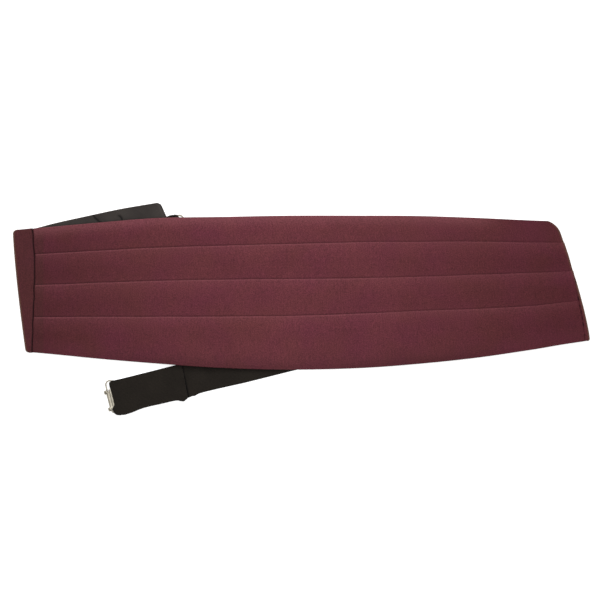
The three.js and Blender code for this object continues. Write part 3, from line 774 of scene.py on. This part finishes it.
def elasticFrame(piece):
    # where an elastic starts at its tail's end, the way that it runs, and the way across it
    end = ends[piece["tail"]]
    axis = end["axis"]
    return end["tip"] - end["across"] * end["elasticDrop"], axis, Vector((-axis.y, axis.x))


def makeElastic(name, piece, edgeAt, marks=None):
    path = elasticPath(piece)
    start, axis, side = elasticFrame(piece)
    steps = elastic["acrossSteps"]

    def pointAt(i, j):
        x, z, layer = path[i]
        share = 2 * j / steps - 1
        way = math.copysign(abs(share) ** 0.8, share)
        x, y = edgeAt(x, way, layer)
        plan = start + axis * x + side * y
        return Vector((plan.x, plan.y, z))

    def markAt(i, j):
        return marks(path[i][0], 2 * j / steps - 1, path[i][2]) if marks else 0

    return layCloth(name, len(path) - 1, steps, pointAt, elastic["wall"], markAt)


hemColumns = ("along", "out")  # the strap's lower edge by its way from the clasp
hemRows = [
    (0.0, 0.6),
    (6.3, 1.6),
    (12.8, 1.4),
    (20.0, 0.35),
    (27.3, 0.05),
    (36.0, 0.3),
    (42.0, 0.4),
    (48.0, 0.5),
    (52.3, 0.95),
    (54.6, 2.1),
    (57.5, 2.9),
    (60.4, 2.8),
    (63.0, 2.0),
    (65.2, 0.9),
    (67.0, 0.7),
    (70.6, -0.25),
    (74.9, -0.5),
    (79.2, -0.5),
    (91.4, -0.3),
    (110.0, 0.2),
]
strapHem = [dict(zip(hemColumns, row)) for row in hemRows]
strapFold = {
    "run": 12,
    "lowerCorner": 4.6,
    "upperCorner": 2.4,
    "lowerSpread": 2.9,  # the turn's upper half spreads over the wire's corner, below this band of the strap
    "lowerSpreadBand": (3, 9.5),
    "upperSpread": 0.8,
    "upperSpreadBand": (-9, 0),
}
strapEnd = {  # the turned back end, by the way from the fold
    "swellStart": (46, 55),
    "swellFinish": (64.4, 67),
    "lowerSwell": 0.35,
    "slant": -0.5,
    "slantRange": (48, 62),
    "curve": 0.35,
    "curveTurn": 2.6,
    "curveRange": (56, 62),
    "corner": 3,
    "cornerRange": (57, 62),
}


def strapEndShadow(x, way, layer):
    # a painted shadow: a dark line beside the step of the turned back end, where it is sewn down
    fromEnd = strap["run"] - strap["doubled"] - strapEnd["slant"] * way - x
    return 0 if layer > 0 else -bell(fromEnd - 0.4, 0.8)


def pinched(piece, x):
    turnX = piece["run"] - wireRoom - elastic["wall"]
    return piece["pinch"] * smoothstep(x, turnX - pinchRun, turnX)


def tabEdge(x, way, layer):
    # as at the clasp, the turn's upper half covers the wire's corner
    half = elastic["width"] / 2
    narrow = pinched(tab, x) * lerp(1, tab["upperPinch"], smoothstep(layer, *upperHalf))
    y = lerp(-half, half - narrow, (way + 1) / 2)
    atFold = smoothstep(x, tab["run"] - 5, tab["run"] - 1)
    return x - rounded(half - narrow - y, tab["corner"]) * atFold, y


def strapEdge(x, way, layer):
    # the strap's lower edge swells at the clasp and where its turned back end stands out
    half = elastic["width"] / 2
    fromFold = strap["run"] - x
    upper = smoothstep(layer, *upperHalf)
    swell = tableValue(strapHem, "out", min(fromFold, strapHem[-1]["along"]))
    atEnd = smoothstep(fromFold, *strapEnd["swellStart"])
    atEnd *= 1 - smoothstep(fromFold, *strapEnd["swellFinish"])
    swell *= lerp(1, lerp(strapEnd["lowerSwell"], 1, layer), atEnd)
    lower = half - pinched(strap, x) * (1 - upper) + swell
    y = lerp(-half, lower, (way + 1) / 2)
    atFold = smoothstep(x, strap["run"] - strapFold["run"], strap["run"] - 1)
    spread = strapFold["lowerSpread"] * smoothstep(y, *strapFold["lowerSpreadBand"])
    spread += strapFold["upperSpread"] * (1 - smoothstep(y, *strapFold["upperSpreadBand"]))
    corners = rounded(lower - y, strapFold["lowerCorner"]) + rounded(y + half, strapFold["upperCorner"])
    slanted = strapEnd["slant"] * way * smoothstep(fromFold, *strapEnd["slantRange"])
    curved = strapEnd["curve"] * math.sin(strapEnd["curveTurn"] * way)
    curved *= smoothstep(fromFold, *strapEnd["curveRange"])
    endCorner = rounded(lower - y, strapEnd["corner"]) * smoothstep(fromFold, *strapEnd["cornerRange"])
    return x + (upper * spread - corners) * atFold + layer * (curved + endCorner - slanted), y


def wireLoop(name, loop, piece):
    # a wire bent into a flat loop: one long side in the elastic's fold, the rounder one free
    plain = -elastic["width"] / 2 - wireRoom
    tight = -plain - piece["pinch"] - loop["short"]
    clearSelection()
    bpy.ops.mesh.primitive_plane_add(size=1)
    obj = bpy.context.object
    obj.name = obj.data.name = name
    for vertex in obj.data.vertices:
        vertex.co = Vector(((vertex.co.x + 0.5) * loop["depth"], tight if vertex.co.y > 0 else plain, 0))
    bpy.ops.object.mode_set(mode="EDIT")
    bpy.ops.mesh.select_all(action="SELECT")
    bpy.ops.mesh.delete(type="ONLY_FACE")
    bends = [(0, plain, wire["foldedBend"]), (0, tight, wire["foldedBend"])]
    bends += [(loop["depth"], plain, loop["plainBend"]), (loop["depth"], tight, loop["pinchedBend"])]
    for x, y, bend in bends:
        bpy.ops.mesh.select_all(action="DESELECT")
        bpy.ops.object.mode_set(mode="OBJECT")
        for vertex in obj.data.vertices:
            vertex.select = (vertex.co - Vector((x, y, 0))).length < 0.01
        bpy.ops.object.mode_set(mode="EDIT")
        bpy.ops.mesh.bevel(affect="VERTICES", offset=bend, segments=8)
    bpy.ops.object.mode_set(mode="OBJECT")
    bpy.ops.object.convert(target="CURVE")
    obj.data.bevel_depth = wire["diameter"] / 2
    obj.data.bevel_resolution = 5
    bpy.ops.object.convert(target="MESH")
    obj = bpy.context.object
    seat(obj, piece, Vector((piece["run"] - wireRoom - elastic["wall"], 0, elastic["wall"] + wireRoom)))
    bpy.ops.object.shade_smooth()
    return obj


def seat(obj, piece, shift):
    # takes a mesh from the elastic's own frame, in millimetres, to its place on the real thing
    start, axis, side = elasticFrame(piece)
    for vertex in obj.data.vertices:
        local = vertex.co + shift
        plan = start + axis * local.x + side * local.y
        vertex.co = (Vector((plan.x, plan.y, local.z)) + origin) * mm
    obj.data.update()


def rod(radius, length, place, sides=40, upright=False):
    turned = (0 if upright else math.pi / 2, 0, 0)
    bpy.ops.mesh.primitive_cylinder_add(
        vertices=sides, radius=radius, depth=length, rotation=turned, location=place
    )
    obj = bpy.context.object
    bpy.ops.object.transform_apply(location=True, rotation=True, scale=True)
    return obj


def block(size, place):
    bpy.ops.mesh.primitive_cube_add(size=1, scale=size, location=place)
    obj = bpy.context.object
    bpy.ops.object.transform_apply(location=True, rotation=True, scale=True)
    return obj


def combine(obj, others, operation):
    for other in others:
        applyModifier(obj, "BOOLEAN", operation=operation, object=other, solver="EXACT")
        bpy.data.objects.remove(other)


hook = {
    "length": 15,
    "wall": 0.45,
    "shift": 1.2,
    "setIn": 1.4,
    "nose": 2.5,
    "noseLength": 16.2,
    "noseShift": 1,
    "noseRise": 0.35,
    "noseIn": 0.15,
    "ear": 3.9,
    "earLength": 3.4,
    "earOffset": 1.1,
    "earStand": 1.5,
    "earRound": 0.9,
    "hole": 1.2,
    "holeDepth": 6,
    "holeFloor": -0.6,
    "holeOffset": 1.4,
    "holeShift": 0.7,
    "voxel": 0.14,
}


def makeHookPlate():
    # a plate rolled round the loop's free side, with two ears, and a nose curled towards the strap
    clearSelection()
    length, wall = hook["length"], hook["wall"]
    barrel = wireRoom + wall
    foldAway = claspLoop["depth"] - wireRoom - elastic["wall"]  # the strap's fold, from the barrel's middle
    noseX = hook["nose"] / 2 - hook["noseIn"] - foldAway
    obj = rod(barrel, length, (0, 0, 0))
    obj.name = obj.data.name = "hookPlate"
    earY = length / 2 + hook["earStand"] - hook["earLength"] / 2
    parts = [rod(hook["nose"] / 2, hook["noseLength"], (noseX, -hook["noseShift"], hook["noseRise"]))]
    parts.append(block((-noseX, length - hook["setIn"], wall), (noseX / 2, 0, barrel - wall)))
    cuts = [rod(wireRoom, 2 * length, (0, 0, 0))]
    slotPlace = (noseX, 0, hook["noseRise"] - hook["nose"] / 2)
    cuts.append(block((hook["nose"] - 2 * wall, 2 * length, hook["nose"]), slotPlace))
    for way in (-1, 1):
        ear = rod(hook["ear"] / 2, hook["earLength"], (hook["earOffset"], way * earY, 0))
        applyModifier(ear, "BEVEL", width=hook["earRound"], segments=4, limit_method="ANGLE", angle_limit=1.0)
        parts.append(ear)
        holeY, holeZ = way * earY + hook["holeShift"], hook["holeFloor"] + hook["holeDepth"] / 2
        holePlace = (hook["holeOffset"], holeY, holeZ)
        cuts.append(rod(hook["hole"] / 2, hook["holeDepth"], holePlace, sides=24, upright=True))
    combine(obj, parts, "UNION")
    combine(obj, cuts, "DIFFERENCE")
    applyModifier(obj, "REMESH", mode="VOXEL", voxel_size=hook["voxel"])
    applyModifier(obj, "SMOOTH", factor=0.5, iterations=3)
    plateX = strap["run"] - wireRoom - elastic["wall"] + claspLoop["depth"]
    seat(obj, strap, Vector((plateX, hook["shift"], elastic["wall"] + wireRoom)))
    clearSelection()
    obj.select_set(True)
    bpy.context.view_layer.objects.active = obj
    bpy.ops.object.shade_smooth()
    return obj


threadTurn = 2 * math.pi / 0.0006  # a thread every 0.6 mm
ribTurn = 2 * math.pi / 0.0011
pickTurn = 2 * math.pi / 0.0007


class Signal:
    # one output socket, so that shader maths reads as sums
    def __init__(self, graph, socket):
        self.graph = graph
        self.socket = socket

    def __add__(self, other):
        return self.graph.math("ADD", self, other)

    def __radd__(self, other):
        return self.graph.math("ADD", other, self)

    def __sub__(self, other):
        return self.graph.math("SUBTRACT", self, other)

    def __rsub__(self, other):
        return self.graph.math("SUBTRACT", other, self)

    def __mul__(self, other):
        return self.graph.math("MULTIPLY", self, other)

    def __rmul__(self, other):
        return self.graph.math("MULTIPLY", other, self)

    def __pow__(self, other):
        return self.graph.math("POWER", self, other)


class Graph:
    def __init__(self, name):
        self.material = bpy.data.materials.new(name)
        self.material.use_nodes = True
        self.tree = self.material.node_tree
        self.tree.nodes.clear()

    def node(self, kind, settings=None, inputs=None, output=0):
        node = self.tree.nodes.new(kind)
        for key, value in (settings or {}).items():
            setattr(node, key, value)
        for key, value in (inputs or {}).items():
            if isinstance(value, Signal):
                self.tree.links.new(value.socket, node.inputs[key])
            else:
                node.inputs[key].default_value = value
        return Signal(self, node.outputs[output])

    def math(self, operation, a, b=0.0, limited=False):
        return self.node("ShaderNodeMath", {"operation": operation, "use_clamp": limited}, {0: a, 1: b})

    def colour(self, factor, a, b, blend="MIX"):
        settings = {"data_type": "RGBA", "blend_type": blend}
        return self.node("ShaderNodeMix", settings, {0: factor, 6: a, 7: b}, 2)

    def noise(self, vector, scale, detail=2.0, rough=0.5):
        inputs = {"Vector": vector, "Scale": scale, "Detail": detail, "Roughness": rough}
        return self.node("ShaderNodeTexNoise", None, inputs, "Fac")

    def parts(self, vector):
        split = self.node("ShaderNodeSeparateXYZ", None, {0: vector}).socket.node
        return [Signal(self, socket) for socket in split.outputs]

    def vector(self, x, y, z=0.0):
        return self.node("ShaderNodeCombineXYZ", None, {0: x, 1: y, 2: z})

    def attribute(self, name):
        return self.node("ShaderNodeAttribute", {"attribute_name": name}, None, "Fac")

    def place(self):
        return self.node("ShaderNodeTexCoord", None, None, "Object")

    def grain(self):
        return self.parts(self.node("ShaderNodeUVMap", {"uv_map": "clothGrain"}))

    def toned(self, base, tone):
        return self.colour(1.0, base, self.vector(tone, tone, tone), "MULTIPLY")

    def finish(self, colour, roughness, height, distance, **fixed):
        bump = self.node("ShaderNodeBump", None, {"Strength": 1.0, "Distance": distance, "Height": height})
        inputs = {"Base Color": colour, "Roughness": roughness, "Normal": bump}
        inputs.update({key.replace("_", " "): value for key, value in fixed.items()})
        shader = self.node("ShaderNodeBsdfPrincipled", None, inputs)
        output = self.tree.nodes.new("ShaderNodeOutputMaterial")
        self.tree.links.new(shader.socket, output.inputs["Surface"])
        return self.material


def shade(red, green, blue):
    # a colour as seen on screen, 0 to 255, to the light that a shader takes
    def linear(value):
        value /= 255
        return value / 12.92 if value <= 0.04045 else ((value + 0.055) / 1.055) ** 2.4

    return (linear(red), linear(green), linear(blue), 1)


clothTones = {
    # ends, middle and right paint light on the cloth: its middle lit, its ends in shade, the right end less
    # so
    "ends": shade(73, 31, 36),
    "middle": shade(95, 45, 51),
    "right": shade(90, 38, 46),
    "purplePatch": shade(88, 34, 52),
    "brownPatch": shade(80, 40, 36),
    "endPiece": shade(70, 34, 35),
    "rim": shade(96, 70, 54),
    # a painted highlight for the fold edges and a painted shade for the clefts and seams
    "paintedFoldHighlight": shade(128, 74, 80),
    "paintedCleftShade": shade(18, 4, 6),
    "sheen": shade(190, 110, 120),
}


def burgundyCloth():
    g = Graph("burgundyCloth")
    tones = clothTones
    grain = g.grain()
    place = g.place()
    x, y, _ = g.parts(place)
    threads = g.math("SINE", grain[0] * threadTurn) * g.math("SINE", grain[1] * threadTurn)
    slubs = g.noise(g.vector(grain[0] * 1100, grain[1] * 90), 1.0, 3.0, 0.6)
    fuzz = g.noise(place, 1300, 1.0, 0.7)
    # painted light: a pool of light on the front's middle, falling off towards both ends
    middle = g.math("SUBTRACT", 1.0, g.math("ABSOLUTE", (x + 0.005) * 4.6) ** 2.0, True)
    rightward = g.math("MULTIPLY", x - 0.02, 5.0, True)
    blotch = g.math("MULTIPLY", g.noise(place, 30, 2.0, 0.55) - 0.4, 3.6, True)
    brown = g.math("MULTIPLY", g.noise(g.vector(x * 24, y * 34, 3.0), 1.0, 2.0) - 0.42, 3.6, True)
    endPiece = g.math("MULTIPLY", -0.2155 - x, 400.0, True)  # what lies left of the seam there
    base = g.colour(middle, tones["ends"], tones["middle"])
    base = g.colour(rightward * 0.35, base, tones["right"])
    base = g.colour(blotch * 0.42, base, tones["purplePatch"])
    base = g.colour(brown * 0.32, base, tones["brownPatch"])
    base = g.colour(endPiece * 0.7, base, tones["endPiece"])
    base = g.colour(g.attribute("rimTint") * 0.8, base, tones["rim"])
    # painted highlights on the fold edges and band tops, painted shade in the clefts, seams and band feet
    marks = g.attribute("paintedLightAndShade")
    base = g.colour(g.math("MULTIPLY", marks, 0.4, True), base, tones["paintedFoldHighlight"])
    base = g.colour(g.math("MULTIPLY", marks, -0.9, True), base, tones["paintedCleftShade"])
    tone = 0.05 + 0.5 * slubs + 1.4 * fuzz
    base = g.toned(base, tone)
    height = 0.35 * threads + 0.6 * slubs + 0.5 * fuzz
    fixed = {"Specular_IOR_Level": 0.1, "Sheen_Weight": 0.06, "Sheen_Tint": tones["sheen"]}
    return g.finish(base, 0.6 + 0.16 * fuzz, height, 0.00009, **fixed)


# hem is a painted highlight and crease a painted shade
liningTones = {
    "dark": shade(46, 41, 39),
    "light": shade(58, 53, 50),
    "hem": shade(88, 83, 80),
    "crease": shade(6, 5, 5),
}


def blackLining():
    g = Graph("blackLining")
    tones = liningTones
    grain = g.grain()
    place = g.place()
    twill = g.math("SINE", (grain[0] + grain[1]) * threadTurn)
    cloud = g.noise(place, 55, 3.0, 0.6)
    fuzz = g.noise(place, 1500, 2.0, 0.7)
    base = g.colour(g.math("MULTIPLY", cloud - 0.3, 2.2, True), tones["dark"], tones["light"])
    # painted highlight along the hem, painted shade in the creases
    marks = g.attribute("paintedLightAndShade")
    base = g.colour(g.math("MULTIPLY", marks, 0.4, True), base, tones["hem"])
    base = g.colour(g.math("MULTIPLY", marks, -1.0, True), base, tones["crease"])
    tone = 0.75 + 0.4 * fuzz + 0.08 * twill
    base = g.toned(base, tone)
    fixed = {"Specular_IOR_Level": 0.12, "Sheen_Weight": 0.04}
    return g.finish(base, 0.55 + 0.15 * fuzz, 0.5 * twill + 0.4 * fuzz, 0.00005, **fixed)


# the third tone is a painted shadow beside the turned back end
elasticTones = {"dark": shade(25, 21, 17), "light": shade(37, 32, 27), "paintedEndShadow": shade(3, 2, 2)}


def blackElastic():
    g = Graph("blackElastic")
    tones = elasticTones
    grain = g.grain()
    place = g.place()
    ribs = g.math("SINE", grain[1] * ribTurn)
    picks = g.math("SINE", grain[0] * pickTurn)
    fuzz = g.noise(place, 1300, 3.0, 0.65)
    base = g.colour(g.noise(place, 60, 2.0), tones["dark"], tones["light"])
    # painted shadow beside the step of the turned back end
    marks = g.attribute("paintedLightAndShade")
    base = g.colour(g.math("MULTIPLY", marks, -0.9, True), base, tones["paintedEndShadow"])
    tone = 0.3 + 0.1 * ribs + 1.3 * fuzz
    base = g.toned(base, tone)
    fixed = {"Specular_IOR_Level": 0.1, "Sheen_Weight": 0.04}
    return g.finish(base, 0.75 + 0.12 * fuzz, 0.6 * ribs + 0.35 * picks + 0.4 * fuzz, 0.00012, **fixed)


metalTones = {"clean": shade(178, 172, 158), "tarnished": shade(150, 144, 130)}


def platedMetal():
    g = Graph("platedMetal")
    place = g.place()
    scuffs = g.noise(place, 900, 4.0, 0.7)
    tarnish = g.math("MULTIPLY", g.noise(place, 260, 3.0) - 0.35, 2.4, True)
    base = g.colour(tarnish, metalTones["clean"], metalTones["tarnished"])
    return g.finish(base, 0.46 + 0.14 * scuffs, scuffs, 0.00002, Metallic=1.0)


def dress(obj, material, nodeNames):
    obj.data.materials.clear()
    obj.data.materials.append(material)
    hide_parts(*nodeNames)
    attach(obj, "root")


light = {
    "room": 0.5,
    "floor": 0.6,
    "boxes": [
        ("farSoftbox", (-0.15, 1.1, 1.25), (1.4, 0.8), 15),
        ("overheadSoftbox", (-0.02, 0.02, 0.45), (0.25, 0.25), 0.9),
    ],
}
view = {"middle": (-0.0012, 0.0064), "level": 0.006, "framed": 0.50484, "lens": 200}


def studio():
    clearSelection()
    bpy.ops.mesh.primitive_plane_add(size=6)
    floor = bpy.context.object
    floor.name = "studioFloor"
    paper = Graph("palePaper")
    place = paper.place()
    speck = paper.noise(place, 300, 3.0)
    tint = paper.colour(speck, (0.9, 0.9, 0.9, 1), (0.94, 0.94, 0.94, 1))
    glow = {"Emission_Color": (1, 1, 1, 1), "Emission_Strength": light["floor"]}
    floor.data.materials.append(paper.finish(tint, 0.85, speck, 0.00005, **glow))
    world = bpy.data.worlds.new("softRoom")
    bpy.context.scene.world = world
    world.use_nodes = True
    world.node_tree.nodes["Background"].inputs[0].default_value = (1, 1, 1, 1)
    world.node_tree.nodes["Background"].inputs[1].default_value = light["room"]
    for name, spot, size, power in light["boxes"]:
        bpy.ops.object.light_add(type="AREA", location=spot)
        lamp = bpy.context.object
        lamp.name = name
        lamp.data.shape = "RECTANGLE"
        lamp.data.size, lamp.data.size_y = size
        lamp.data.energy = power
        aim = Vector((spot[0], 0, 0)) - Vector(spot)
        lamp.rotation_euler = aim.to_track_quat("-Z", "Y").to_euler()
    bpy.ops.object.camera_add(location=(view["middle"][0], view["middle"][1], view["level"]))
    camera = bpy.context.object
    camera.data.lens = view["lens"]
    away = view["framed"] / (camera.data.sensor_width / view["lens"])
    camera.location.z += away
    camera.data.clip_end = 4 * away
    bpy.context.scene.camera = camera
    bpy.context.scene.view_settings.view_transform = "Standard"


studio()
print("studio ready")

burgundy, lining, webbing, metal = burgundyCloth(), blackLining(), blackElastic(), platedMetal()
front, frontArea = makeFront()
dress(front, burgundy, ["front_panel"])

backPiece, backArea = makeBackLining()
dress(backPiece, lining, ["back_lining"])

for name, end in ends.items():
    seam = leftSeam if name == "left" else rightSeam
    cloth, clothArea = foldedEnd(name + "EndCloth", end, clothRadius, seam, stack["clothWall"])
    dress(cloth, burgundy, [name + "_end_piece"])
    inner, innerArea = foldedEnd(
        name + "TailLining",
        end,
        liningRadius,
        lambda v: stack["liningSeam"],
        stack["liningWall"],
        liningRaise(end),
    )
    dress(inner, lining, [name + "_end_lining"])

tabPiece, tabArea = makeElastic("eyeTab", tab, tabEdge)
dress(tabPiece, webbing, ["left_strap_tab"])
strapPiece, strapArea = makeElastic("hookStrap", strap, strapEdge, strapEndShadow)
dress(strapPiece, webbing, ["elastic_strap"])

dress(wireLoop("eyeWire", eyeLoop, tab), metal, ["eye_loop"])
dress(wireLoop("claspWire", claspLoop, strap), metal, ["clasp_loop"])
dress(makeHookPlate(), metal, ["hook_plate"])
print("pieces ready")
